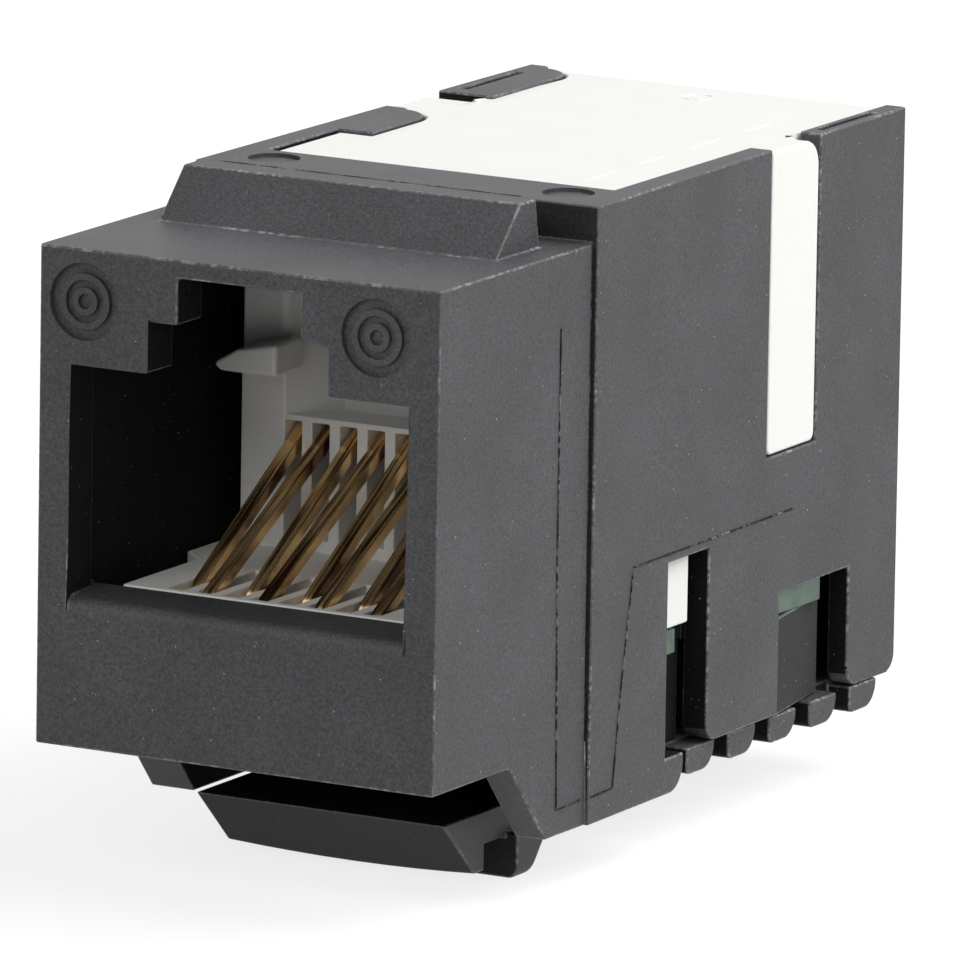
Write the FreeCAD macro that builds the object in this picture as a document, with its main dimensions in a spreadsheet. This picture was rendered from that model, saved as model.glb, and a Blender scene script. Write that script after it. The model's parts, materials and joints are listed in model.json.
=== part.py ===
import FreeCAD, Part
import math
import os
import re
import Sketcher

# Keystone jack: an eight-way modular socket that snaps into a panel.
# Drawn with the front face at Y = 0, the rear at +Y, +X to the right seen from the front, and Z = 0 at
# the front block's lower edge. Every piece is then placed so that the origin is the centre of the
# whole jack's footprint, at the height of the latch's lowest face.

SIZES = {
    # Front block, which passes through the panel
    "front_width": 14.5,
    "front_height": 16.1,
    "front_depth": 9.7,
    "front_wall": 1.55,
    "side_wall": 0.9,
    "top_wall": 0.6,
    "floor_wall": 1.2,
    "groove_width": 0.12,
    "groove_depth": 0.12,
    # Stepped plug opening, with the plug's latch at the top
    "jamb_width": 1.1,
    "opening_floor": 4.8,
    "step_width": 6.56,
    "step_rise": 1.65,
    "notch_width": 4.46,
    "notch_rise": 1.5,
    "lip_depth": 1.9,
    "lip_rise": 0.2,
    "lip_round": 0.5,
    # Round marks on the face
    "mark_diameter": 2.5,
    "mark_recess": 0.2,
    "mark_ring": 1.8,
    "mark_eye": 0.9,
    "ring_width": 0.2,
    "mark_setback": 1.7,
    "left_mark_inset": 1.62,
    "right_mark_inset": 2.29,
    # Rear body
    "overall_length": 31.2,
    "rear_step": 0.15,
    "rear_rise": 1.2,
    "tail_draft": 0.35,
    "wall_drop": 1.55,
    "tail_corner": 0.6,
    "band_length": 2.85,
    "ejector_diameter": 1.7,
    "ejector_depth": 0.12,
    "ejector_inset": 0.95,
    "ejector_setback": 1.6,
    # Fixed catch on top
    "wedge_inset": 1.1,
    "wedge_height": 1.6,
    "wedge_ramp": 1.52,
    "wedge_flat": 1.03,
    "wedge_heel": 0.25,
    "top_slot": 1.57,
    # Guards beside the cap
    "pad_width": 0.9,
    "pad_height": 1.7,
    "pad_share": 0.9,
    "front_pad_length": 4.1,
    "front_pad_gap": 0.5,
    "rear_pad_setback": 0.8,
    "slit_width": 0.28,
    "slit_depth": 0.35,
    "slit_inset": 0.27,
    "slit_margin": 0.75,
    # Ears beside the latch
    "ear_thickness": 1.12,
    "left_ear_extra": 0.48,
    "ear_reach": 4.9,
    "ear_ramp": 2.38,
    "ear_drop": 2.75,
    "ear_overlap": 0.15,
    "ear_tail": 1.1,
    "ear_corner": 0.9,
    # Side windows
    "tall_share": 0.2446,
    "tall_length": 2.8,
    "tall_top": 4.87,
    "window_corner": 0.7,
    "low_length": 4.95,
    "low_setback": 3.45,
    "low_ramp": 3.9,
    "ramp_wall": 0.2,
    # Latch arm
    "nose_gap": 1.58,
    "nose_length": 2.7,
    "nose_flat": 0.4,
    "nose_drop": 4.45,
    "nose_bow": 0.2,
    "shoulder_gap": 1.13,
    "shoulder_setback": 0.15,
    "shoulder_length": 2.3,
    "shoulder_drop": 4.75,
    "shoulder_corner": 0.37,
    "panel_gap": 1.35,
    "arm_top": 2.3,
    "arm_thickness": 1.1,
    "pivot_inset": 0.2,
    "root_clearance": 0.1,
    "root_margin": 0.15,
    # Base cover under the rear body
    "cover_setback": 0.2,
    "cover_gap": 0.15,
    "cover_top": 1.45,
    "cover_plate": 0.65,
    "fin_drop": 2.5,
    "fin_setback": 0.5,
    "fin_end": 1.23,
    "fin_share": 0.665,
    "fin_heel": 0.8,
    "fin_toe": 0.3,
    "seat_gap": 0.05,
    "tab_length": 1.3,
    "tab_thickness": 1.05,
    "tab_top": 4.7,
    "rail_width": 1.1,
    "rail_gap": 0.8,
    "tail_wall": 0.8,
    "tail_wall_top": 7.8,
    # Circuit board
    "board_top": 2.5,
    "board_thickness": 0.8,
    "board_setback": 4.7,
    "board_gap": 0.2,
    "board_corner": 1.0,
    "lug_inset": 0.36,
    "lug_gap": 0.1,
    "board_lug_corner": 0.25,
    # Spring contacts
    "contact_spacing": 1.02,
    "contact_size": 0.42,
    "contact_bend_height": 4.7,
    "contact_tip_height": 8.95,
    "contact_tip_length": 0.45,
    "contact_tip_inset": 1.4,
    "steep_tail": 3.75,
    "shallow_tail": 2.65,
    "contact_bend": 0.4,
    "contact_crest_round": 0.3,
    "tail_reach": 0.35,
    "contact_hole": 0.75,
    # White contact carrier
    "carrier_front": 2.05,
    "carrier_reach": 2.48,
    "carrier_gap": 0.15,
    "carrier_nose_inset": 1.05,
    "carrier_floor": 5.0,
    "carrier_flare": 0.8,
    "flare_setback": 2.1,
    "comb_depth": 2.6,
    "comb_inset": 0.85,
    "tip_clearance": 0.04,
    "comb_slot_width": 0.62,
    "comb_slot_floor": 5.4,
    "comb_slot_depth": 2.35,
    "comb_roof": 0.2,
    "shelf_depth": 1.5,
    "column_width": 1.6,
    "column_splay": 1.5,
    "carrier_drop": 0.3,
    "floor_slot_margin": 0.3,
    "floor_slot_end": 6.2,
    "hook_reach": 1.7,
    "hook_rise": 1.5,
    "hook_height": 1.1,
    "hook_tip": 0.25,
    "hook_end": 0.12,
    "hook_margin": 2.25,
    # White terminal block
    "block_gap": 0.1,
    "block_setback": 1.0,
    "block_floor": 8.0,
    "block_lug_length": 1.3,
    "tower_lead": 0.5,
    "tower_tail": 1.1,
    "tower_inset": 0.45,
    "tower_width": 2.7,
    "tower_drop": 2.7,
    "wire_slot_width": 0.95,
    "wire_slot_depth": 3.2,
    "row_lead": 1.9,
    "row_tail": 2.0,
    "terminal_inset": 1.45,
    "terminal_thickness": 0.4,
    "terminal_share": 0.61,
    "terminal_drop": 0.4,
    "terminal_rise": 0.6,
    "terminal_fork": 0.34,
    "terminal_fork_depth": 2.6,
    "terminal_mouth_depth": 0.6,
    "terminal_pin": 0.5,
    "terminal_hole": 0.9,
    "terminal_clearance": 0.08,
    # White wire cap
    "cap_drop": 0.1,
    "cap_thickness": 1.45,
    "cap_gap": 0.1,
    "ridge_height": 0.1,
    "ridge_width": 2.2,
    "ridge_inset": 1.75,
    "strap_lead": 1.0,
    "strap_length": 3.3,
    "strap_height": 10.1,
    "strap_corner": 0.9,
    "strap_clearance": 0.05,
    "strap_inset": 0.02,
    "presser_width": 0.7,
    "presser_length": 0.6,
    "presser_gap": 0.2,
    "presser_depth": 2.2,
    "skirt_length": 0.6,
    "arch_gap": 0.1,
    "arch_drop": 2.4,
}

COUNTS = {"contacts": 8, "terminal_rows": 4, "ribs": 5}
MOUTH_SHARE = 0.5  # how wide a terminal's mouth is, of its blade

doc = FreeCAD.newDocument("KeystoneJack")
sheet = doc.addObject("Spreadsheet::Sheet", "Sizes")
for row, (word, number) in enumerate(SIZES.items(), 1):
    sheet.set(f"A{row}", word)
    sheet.set(f"B{row}", str(number))
    sheet.setAlias(f"B{row}", word)
doc.recompute()

WORD = re.compile(r"[a-z]\w+")
START = 10  # where an outline's corners lie before their sizes place them
OVERSHOOT = "2"  # how far a cut runs past the face that it opens
PLANES = {"XY": 1, "YZ": 1, "XZ": -1}  # which way each plane's normal points along its axis
LAST = {}  # the latest feature of each body
CUTS = []  # every cut with the feature that it cuts


def size(word):
    """A driving dimension, read back from the sheet."""
    return float(sheet.get(word))


def formula(text):
    """The same formula, with its words taken from the sheet."""
    return WORD.sub(lambda found: f"Sizes.{found.group()}" if found.group() in SIZES else found.group(), text)


def origin_feature(body, role):
    return next(item for item in body.Origin.OriginFeatures if item.Role == role)


def make_body(name, x="0", y="0"):
    """A new piece, moved from where it is drawn to its place in the jack."""
    body = doc.addObject("PartDesign::Body", name)
    body.Label = name
    body.setExpression("Placement.Base.x", formula(x))
    body.setExpression("Placement.Base.y", formula(f"{y} - overall_length / 2"))
    body.setExpression("Placement.Base.z", formula("shoulder_drop"))
    return body


def attach(body, name, plane, level):
    """An empty sketch on one of the body's planes, moved along that plane's axis to a level."""
    sketch = body.newObject("Sketcher::SketchObject", name)
    sketch.AttachmentSupport = [(origin_feature(body, plane + "_Plane"), "")]
    sketch.MapMode = "FlatFace"
    sign = "" if PLANES[plane] > 0 else "-"
    sketch.setExpression("AttachmentOffset.Base.z", formula(f"{sign}({level})"))
    return sketch


def outline(body, name, plane, level, corners):
    """A closed outline; each corner is a pair of formulas."""
    sketch = attach(body, name, plane, level)
    count = len(corners)
    turns = [2 * math.pi * i / count for i in range(count)]
    start = [FreeCAD.Vector(START * math.cos(turn), START * math.sin(turn), 0) for turn in turns]
    lines = [Part.LineSegment(start[i], start[(i + 1) % count]) for i in range(count)]
    sketch.addGeometry(lines, False)
    rules = [Sketcher.Constraint("Coincident", i, 2, (i + 1) % count, 1) for i in range(count)]
    driven = []
    for i, pair in enumerate(corners):
        for kind, text, value in zip(("DistanceX", "DistanceY"), pair, (start[i].x, start[i].y)):
            driven.append((len(rules), text))
            rules.append(Sketcher.Constraint(kind, -1, 1, i, 1, value))
    sketch.addConstraint(rules)
    for index, text in driven:
        sketch.setExpression(f"Constraints[{index}]", formula(text))
    return sketch


def ring(body, name, plane, level, centre, diameters):
    """Concentric circles about one centre."""
    sketch = attach(body, name, plane, level)
    for i, diameter in enumerate(diameters):
        sketch.addGeometry(Part.Circle(FreeCAD.Vector(1, 1, 0), FreeCAD.Vector(0, 0, 1), 1 + i), False)
        first = sketch.ConstraintCount
        sketch.addConstraint(
            [
                Sketcher.Constraint("DistanceX", -1, 1, i, 3, 1.0),
                Sketcher.Constraint("DistanceY", -1, 1, i, 3, 1.0),
                Sketcher.Constraint("Diameter", i, 2.0 + 2 * i),
            ]
        )
        for step, text in enumerate((centre[0], centre[1], diameter)):
            sketch.setExpression(f"Constraints[{first + step}]", formula(text))
    return sketch


def extrude(kind, body, name, sketch, plane, low, high):
    """Pad or pocket a sketch from its own level up to a higher one."""
    feature = body.newObject(kind, name)
    feature.Profile = sketch
    along = PLANES[plane] > 0
    feature.Reversed = along if kind.endswith("Pocket") else not along
    feature.setExpression("Length", formula(f"({high}) - ({low})"))
    if kind.endswith("Pocket"):
        CUTS.append((feature, LAST[body.Name]))
    LAST[body.Name] = feature
    return feature


def add(body, name, plane, corners, low, high):
    sketch = outline(body, name + "_outline", plane, low, corners)
    return extrude("PartDesign::Pad", body, name, sketch, plane, low, high)


def cut(body, name, plane, corners, low, high):
    sketch = outline(body, name + "_outline", plane, low, corners)
    return extrude("PartDesign::Pocket", body, name, sketch, plane, low, high)


def cut_disc(body, name, plane, centre, diameter, low, high):
    sketch = ring(body, name + "_outline", plane, low, centre, [diameter])
    return extrude("PartDesign::Pocket", body, name, sketch, plane, low, high)


def add_ring(body, name, plane, centre, diameters, low, high):
    sketch = ring(body, name + "_outline", plane, low, centre, diameters)
    return extrude("PartDesign::Pad", body, name, sketch, plane, low, high)


def box(x_low, x_high, y_low, y_high):
    """The four corners of a rectangle."""
    return [(x_low, y_low), (x_high, y_low), (x_high, y_high), (x_low, y_high)]


def centred(width, y_low, y_high):
    return box(f"-({width}) / 2", f"({width}) / 2", y_low, y_high)


def repeat(body, name, features, axis, pitch, count):
    """Copies of features in a row."""
    pattern = body.newObject("PartDesign::LinearPattern", name)
    pattern.Originals = features
    pattern.Direction = (origin_feature(body, axis + "_Axis"), [""])
    pattern.Mode = "Spacing"
    pattern.setExpression("Offset", formula(pitch))
    pattern.Occurrences = count
    body.Tip = pattern
    LAST[body.Name] = pattern
    return pattern


def near(value, target):
    return abs(value - target) < 0.01


def round_edges(body, name, radius, chosen):
    """Round the edges of the body's latest feature that the test chooses."""
    doc.recompute()
    base = LAST[body.Name]
    names = [f"Edge{i}" for i, edge in enumerate(base.Shape.Edges, 1) if chosen(edge)]
    fillet = body.newObject("PartDesign::Fillet", name)
    fillet.Base = (base, names)
    fillet.setExpression("Radius", formula(radius))
    LAST[body.Name] = fillet
    return fillet


def edge_test(axis, **at):
    """A test for straight edges along an axis whose middle lies at the given coordinates."""

    def chosen(edge):
        if len(edge.Vertexes) != 2:
            return False
        run = edge.Vertexes[1].Point - edge.Vertexes[0].Point
        if abs(getattr(run, axis)) < 0.999 * run.Length or run.Length < 0.01:
            return False
        return all(near(getattr(edge.CenterOfMass, name), value) for name, value in at.items())

    return chosen


# Widths that follow from the front block's
CAVITY = "(front_width - 2 * side_wall)"
OPENING = "(front_width - 2 * jamb_width)"
REAR = "(front_width + 2 * rear_step)"
TAIL = f"({REAR} - 2 * tail_draft)"
COVER = f"({CAVITY} - 2 * cover_gap)"
COMB = f"({CAVITY} - 2 * comb_inset)"
TOWER_OUTER = f"({CAVITY} / 2 - tower_inset)"
TOWER_INNER = f"({TOWER_OUTER} - tower_width)"
TERMINAL_X = f"({TOWER_OUTER} - terminal_inset)"
NOSE = "(front_width - 2 * (ear_thickness + nose_gap))"
SHOULDER = "(front_width - 2 * (ear_thickness + shoulder_gap))"

# Heights that follow from the front block's
NOTCH_TOP = "(front_height - top_wall)"
STEP_TOP = f"({NOTCH_TOP} - notch_rise)"
OPENING_TOP = f"({STEP_TOP} - step_rise)"
REAR_TOP = "(front_height + rear_rise)"
CAP_TOP = f"({REAR_TOP} - cap_drop)"
CAP_UNDER = f"({CAP_TOP} - cap_thickness)"
TOWER_TOP = f"({REAR_TOP} - tower_drop)"
TERMINAL_TOP = f"({TOWER_TOP} - terminal_drop)"
TERMINAL_FOOT = "(block_floor + terminal_rise)"
STRAP_FOOT = f"({REAR_TOP} - strap_height)"
SKIRT_FOOT = "(tail_wall_top + cap_gap)"
COMB_TOP = "(contact_tip_height + contact_size / 2 + tip_clearance + comb_roof)"
HOOK_FLOOR = f"({COMB_TOP} + hook_rise)"
BOARD_LOW = "(board_top - board_thickness)"
ARM_LOW = "(-arm_top - arm_thickness)"
PLATE_LOW = "(-cover_top - cover_plate)"
PIN_FOOT = f"({BOARD_LOW} - tail_reach)"

# Places along the jack, from the front block's depth backwards
NECK = "(front_depth + groove_width)"
WEDGE_END = f"({NECK} - top_slot)"
EAR_START = f"({NECK} - ear_reach)"
SHOULDER_START = "(front_depth - shoulder_setback)"
NOSE_REAR = f"({SHOULDER_START} - panel_gap)"
CARRIER_REAR = f"({NECK} + carrier_reach)"
COMB_FACE = f"({CARRIER_REAR} - comb_depth)"
TIP = f"({COMB_FACE} + contact_tip_inset)"
TALL_START = f"({NECK} + tall_share * (overall_length - {NECK}))"
TALL_END = f"({TALL_START} + tall_length)"
EAR_HEEL = f"({TALL_START} + ear_overlap)"
PIVOT = f"({EAR_HEEL} - pivot_inset)"
EAR_END = f"({EAR_HEEL} + ear_tail)"
COVER_START = f"({EAR_END} + cover_setback)"
TAB_END = f"({COVER_START} + tab_length)"
BLOCK_START = f"({CARRIER_REAR} + block_gap)"
TOWER_START = f"({BLOCK_START} + tower_lead)"
FIRST_ROW = f"({TOWER_START} + row_lead)"

# Places along the jack, from its rear end forwards
LOW_END = "(overall_length - low_setback)"
LOW_START = f"({LOW_END} - low_length)"
STRAP_START = f"({LOW_START} - strap_lead)"
STRAP_END = f"({STRAP_START} + strap_length + strap_clearance)"
FRONT_PAD_END = f"({STRAP_START} - front_pad_gap)"
REAR_PAD_END = "(overall_length - rear_pad_setback)"
BOARD_REAR = "(overall_length - board_setback)"
BLOCK_END = "(overall_length - block_setback)"
TOWER_END = f"({BOARD_REAR} + tower_tail)"
ROW_SPACING = f"(({TOWER_END} - row_tail - {FIRST_ROW}) / {COUNTS['terminal_rows'] - 1})"
BLADE = f"(terminal_share * {ROW_SPACING})"
FIN_START = f"({COVER_START} + fin_setback)"
FIN_SPACING = f"((overall_length - fin_end - {FIN_START}) / ({COUNTS['ribs'] - 1} + fin_share))"
TAPER = f"(({REAR} - {TAIL}) / 2 / (overall_length - {NECK}))"
PAD_CORNER = "(pad_share * pad_width)"
SIDES = (("left", "-"), ("right", ""))


def half_width(y):
    """Half the rear body's width at a distance from the front, as a formula."""
    return f"({REAR} / 2 - {TAPER} * ({y} - {NECK}))"


LUG = f"({half_width(TALL_START)} - lug_inset)"  # how far the white and green lugs reach into the windows


def worth(text):
    """The present value of a formula."""
    return float(sheet.evalExpression(formula(text)))


# Housing: one moulding with the front block, top catch, ears, rear walls and guards


def make_housing():
    body = make_body("housing")
    add(body, "front_block", "XZ", centred("front_width", "0", "front_height"), "0", "front_depth")
    neck = centred("front_width - 2 * groove_depth", "0", "front_height")
    add(body, "neck", "XZ", neck, "front_depth", NECK)
    plan = [
        (f"-{REAR} / 2", NECK),
        (f"{REAR} / 2", NECK),
        (f"{TAIL} / 2", "overall_length"),
        (f"-{TAIL} / 2", "overall_length"),
    ]
    add(body, "rear_body", "XY", plan, "-ear_drop", REAR_TOP)
    below = "(-ear_drop - 1)"
    under = box(EAR_END, f"overall_length + {OVERSHOOT}", below, "-wall_drop")
    cut(body, "rear_underside", "YZ", under, f"-{REAR}", REAR)
    ear = [
        (EAR_START, "0"),
        (f"{EAR_START} + ear_ramp", "-ear_drop"),
        (NECK, "-ear_drop"),
        (NECK, "0"),
    ]
    add(body, "front_ears", "YZ", ear, "-front_width / 2", "front_width / 2")
    left = "(-front_width / 2 + ear_thickness + left_ear_extra)"
    right = "(front_width / 2 - ear_thickness)"
    cut(body, "latch_bay", "XY", box(left, right, f"{EAR_START} - 1", f"{EAR_END} + 0.1"), below, "0")
    add_top_catch(body)
    cut_socket(body)
    cut_rear(body)
    add_guards(body)
    cut_windows(body)
    add_latch_root(body)
    mark_face(body)
    round_housing(body)
    return body


def add_top_catch(body):
    """The rigid wedge on top that hooks behind the panel."""
    crest_end = f"({WEDGE_END} - wedge_heel)"
    crest = f"({crest_end} - wedge_flat)"
    start = f"({crest} - wedge_ramp)"
    corners = [
        (start, "front_height - 0.1"),
        (start, "front_height"),
        (crest, "front_height + wedge_height"),
        (crest_end, "front_height + wedge_height"),
        (WEDGE_END, "front_height"),
        (WEDGE_END, "front_height - 0.1"),
    ]
    half = "(front_width / 2 - wedge_inset)"
    add(body, "top_catch", "YZ", corners, f"-{half}", half)


def cut_socket(body):
    """The stepped opening for the plug and the room behind it."""
    right = [
        (f"{OPENING} / 2", "opening_floor + lip_rise"),
        (f"{OPENING} / 2", OPENING_TOP),
        ("step_width / 2", OPENING_TOP),
        ("step_width / 2", STEP_TOP),
        ("notch_width / 2", STEP_TOP),
        ("notch_width / 2", NOTCH_TOP),
    ]
    left = [(f"-{x}", z) for x, z in reversed(right)]
    cut(body, "plug_opening", "XZ", right + left, f"-{OVERSHOOT}", "lip_depth")
    slope = [
        (f"-{OVERSHOOT}", "opening_floor"),
        ("0", "opening_floor"),
        ("lip_depth", "opening_floor + lip_rise"),
        ("lip_depth", "opening_floor + 1"),
        (f"-{OVERSHOOT}", "opening_floor + 1"),
    ]
    cut(body, "lip_slope", "YZ", slope, f"-{OPENING} / 2", f"{OPENING} / 2")
    upper = centred(CAVITY, "opening_floor + lip_rise", NOTCH_TOP)
    cut(body, "socket_room", "XZ", upper, "front_wall", f"{NECK} + band_length")
    lower = centred(CAVITY, "floor_wall", "opening_floor + lip_rise + 0.1")
    cut(body, "board_room", "XZ", lower, "lip_depth", COVER_START)


def cut_rear(body):
    """The open rear bay, its roof opening and the slots for the cap's straps."""
    behind = f"overall_length + {OVERSHOOT}"
    high = f"{REAR_TOP} + {OVERSHOOT}"
    roof = centred(CAVITY, f"{NECK} + band_length", behind)
    cut(body, "roof_opening", "XY", roof, "floor_wall", high)
    bay = centred(CAVITY, f"{COVER_START} - seat_gap", behind)
    cut(body, "open_base", "XY", bay, "-ear_drop - 1", "floor_wall + 0.1")
    slot = box(f"{STRAP_START} - strap_clearance", STRAP_END, f"{STRAP_FOOT} - strap_clearance", high)
    cut(body, "strap_slots", "YZ", slot, f"-{REAR}", REAR)


def add_guards(body):
    """Raised pads inside the left guard, and a slit along the top of each rear guard."""
    inner = f"({CAVITY} / 2)"
    for name, low, high in (
        ("front_pad", f"{FRONT_PAD_END} - front_pad_length", FRONT_PAD_END),
        ("rear_pad", STRAP_END, REAR_PAD_END),
    ):
        pad = box(f"-{inner} - 0.1", f"-{inner} + pad_width", low, high)
        add(body, name, "XY", pad, f"{REAR_TOP} - pad_height", REAR_TOP)
    for name, sign in SIDES:
        middle = f"{sign}({inner} + slit_inset)"
        slit = box(
            f"{middle} - slit_width / 2",
            f"{middle} + slit_width / 2",
            f"{STRAP_END} + slit_margin",
            f"{REAR_PAD_END} - slit_margin",
        )
        cut(body, f"{name}_slit", "XY", slit, f"{REAR_TOP} - slit_depth", f"{REAR_TOP} + {OVERSHOOT}")


def cut_windows(body):
    """A tall and a low window in each rear wall; below the low one the wall runs in as a ramp."""
    inner = f"({CAVITY} / 2 - 0.1)"
    tall = box(TALL_START, TALL_END, "-wall_drop", "tall_top")
    cut(body, "left_tall_window", "YZ", tall, f"-{REAR}", f"-{inner}")
    cut(body, "right_tall_window", "YZ", tall, inner, REAR)
    slot = box(LOW_START, LOW_END, BOARD_LOW, "board_top")
    cut(body, "low_windows", "YZ", slot, f"-{REAR}", REAR)
    for name, sign in SIDES:
        ramp = [
            (f"{sign}{half_width(LOW_START)}", LOW_START),
            (f"{sign}({CAVITY} / 2 + ramp_wall)", f"{LOW_START} + low_ramp"),
            (f"{sign}{inner}", f"{LOW_START} + low_ramp"),
            (f"{sign}{inner}", LOW_END),
            (f"{sign}{REAR}", LOW_END),
            (f"{sign}{REAR}", LOW_START),
        ]
        cut(body, f"{name}_ramp", "XY", ramp, "-wall_drop - 1", f"{BOARD_LOW} + 0.1")


def add_latch_root(body):
    """The block under the floor where the latch arm springs from, with the arm's round seat."""
    half = f"({NOSE} / 2 + root_margin)"
    block = box(EAR_HEEL, f"{COVER_START} - seat_gap", ARM_LOW, "0.1")
    add(body, "latch_root", "YZ", block, f"-{half}", half)
    seat = "arm_thickness + 2 * root_clearance"
    centre = (PIVOT, "-arm_top - arm_thickness / 2")
    cut_disc(body, "latch_seat", "YZ", centre, seat, f"-{half}", half)


def mark_face(body):
    """A recessed disc with two raised rings in each upper corner, and the moulding's ejector marks."""
    for name, x in (
        ("left", "-front_width / 2 + left_mark_inset"),
        ("right", "front_width / 2 - right_mark_inset"),
    ):
        centre = (x, "front_height - mark_setback")
        cut_disc(body, f"{name}_disc", "XZ", centre, "mark_diameter", f"-{OVERSHOOT}", "mark_recess")
        for part, width in (("ring", "mark_ring"), ("eye", "mark_eye")):
            diameters = [width, f"{width} - 2 * ring_width"]
            add_ring(body, f"{name}_{part}", "XZ", centre, diameters, "mark_recess / 4", "mark_recess + 0.05")
    for name, sign in SIDES:
        centre = (f"{sign}({CAVITY} / 2 - ejector_inset)", f"{NECK} + ejector_setback")
        low = f"{REAR_TOP} - ejector_depth"
        high = f"{REAR_TOP} + {OVERSHOOT}"
        cut_disc(body, f"{name}_ejector", "XY", centre, "ejector_diameter", low, high)


def any_edge(tests):
    return lambda edge: any(test(edge) for test in tests)


def round_housing(body):
    """Round the lip, the lower corners of ears, windows and tail, and the pads' free corners."""
    foot = worth("-wall_drop")
    lip = edge_test("x", y=0, z=worth("opening_floor"))
    round_edges(body, "lip_rounding", "lip_round", lip)
    ears = edge_test("x", y=worth(EAR_END), z=worth("-ear_drop"))
    round_edges(body, "ear_rounding", "ear_corner", ears)
    heel = edge_test("x", y=worth("overall_length"), z=foot)
    round_edges(body, "tail_rounding", "tail_corner", heel)
    corners = [edge_test("x", y=worth(end), z=foot) for end in (TALL_END, LOW_END)]
    round_edges(body, "window_rounding", "window_corner", any_edge(corners))
    inner = worth(f"-{CAVITY} / 2 + pad_width")
    stops = [edge_test("z", x=inner, y=worth(end)) for end in (FRONT_PAD_END, REAR_PAD_END)]
    round_edges(body, "pad_rounding", PAD_CORNER, any_edge(stops))


# Latch arm: flexes up under the front block and springs back behind the panel


def make_latch_arm():
    body = make_body("latch_arm")
    half = f"({NOSE} / 2)"
    nose = [
        (f"{NOSE_REAR} - nose_length", "-arm_top"),
        (f"{NOSE_REAR} - nose_flat", "-nose_drop"),
        (NOSE_REAR, "-nose_drop"),
        (NOSE_REAR, "-arm_top"),
    ]
    add(body, "nose", "YZ", nose, f"-{half}", half)
    bow_underside(body, half)
    web = box(f"{NOSE_REAR} - 0.1", PIVOT, ARM_LOW, "-arm_top")
    add(body, "web", "YZ", web, f"-{half}", half)
    end = f"{SHOULDER_START} + shoulder_length"
    shoulder = [
        (SHOULDER_START, f"{ARM_LOW} + 0.1"),
        (SHOULDER_START, "-shoulder_drop"),
        (f"{SHOULDER_START} + shoulder_length / 2", "-shoulder_drop"),
        (end, ARM_LOW),
        (end, f"{ARM_LOW} + 0.1"),
    ]
    add(body, "shoulder", "YZ", shoulder, f"-{SHOULDER} / 2", f"{SHOULDER} / 2")
    centre = (PIVOT, f"{ARM_LOW} + arm_thickness / 2")
    add_ring(body, "root", "YZ", centre, ["arm_thickness"], f"-{half}", half)
    floor = worth("-shoulder_drop")
    heel = edge_test("x", y=worth(f"{SHOULDER_START} + shoulder_length / 2"), z=floor)
    round_edges(body, "heel_rounding", "shoulder_length / 3", heel)
    side = worth(f"{SHOULDER} / 2")
    start = worth(SHOULDER_START)

    def lower_corner(edge):
        point = edge.CenterOfMass
        return near(abs(point.x), side) and near(point.z, floor) and point.y > start

    round_edges(body, "shoulder_rounding", "shoulder_corner", lower_corner)
    return body


def bow_underside(body, half):
    """Cut the nose's lower face to a shallow arc, lowest in the middle."""
    before = f"{NOSE_REAR} - nose_length - 1"
    sketch = attach(body, "nose_arc", "XZ", before)
    x = worth(half) + 1
    floor = worth("-nose_drop")
    bend = f"({half}^2 + nose_bow^2) / (2 * nose_bow)"
    radius = worth(bend)
    swing = math.asin(x / radius)
    circle = Part.Circle(FreeCAD.Vector(0, floor + radius, 0), FreeCAD.Vector(0, 0, 1), radius)
    arc = Part.ArcOfCircle(circle, -math.pi / 2 - swing, -math.pi / 2 + swing)
    level = floor + radius * (1 - math.cos(swing))
    points = [(x, level), (x, floor - 1), (-x, floor - 1), (-x, level)]
    corners = [FreeCAD.Vector(*point, 0) for point in points]
    lines = [Part.LineSegment(corners[i], corners[i + 1]) for i in range(3)]
    sketch.addGeometry([arc] + lines, False)
    rules = [
        Sketcher.Constraint("Coincident", 0, 2, 1, 1),
        Sketcher.Constraint("Coincident", 1, 2, 2, 1),
        Sketcher.Constraint("Coincident", 2, 2, 3, 1),
        Sketcher.Constraint("Coincident", 3, 2, 0, 1),
        Sketcher.Constraint("Vertical", 1),
        Sketcher.Constraint("Horizontal", 2),
        Sketcher.Constraint("Vertical", 3),
    ]
    driven = [
        (("DistanceX", -1, 1, 1, 2), x, f"{half} + 1"),
        (("DistanceX", -1, 1, 2, 2), -x, f"-{half} - 1"),
        (("DistanceY", -1, 1, 1, 2), floor - 1, "-nose_drop - 1"),
        (("DistanceX", -1, 1, 0, 3), 0.0, "0"),
        (("DistanceY", -1, 1, 0, 3), floor + radius, f"-nose_drop + {bend}"),
        (("Radius", 0), radius, bend),
    ]
    rules += [Sketcher.Constraint(*kind, value) for kind, value, text in driven]
    sketch.addConstraint(rules)
    first = len(rules) - len(driven)
    for step, (kind, value, text) in enumerate(driven):
        sketch.setExpression(f"Constraints[{first + step}]", formula(text))
    extrude("PartDesign::Pocket", body, "nose_bow_cut", sketch, "XZ", before, f"{NOSE_REAR} + 1")


# Base cover: closes the rear body from below, with grip ribs and two snap tabs


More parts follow.
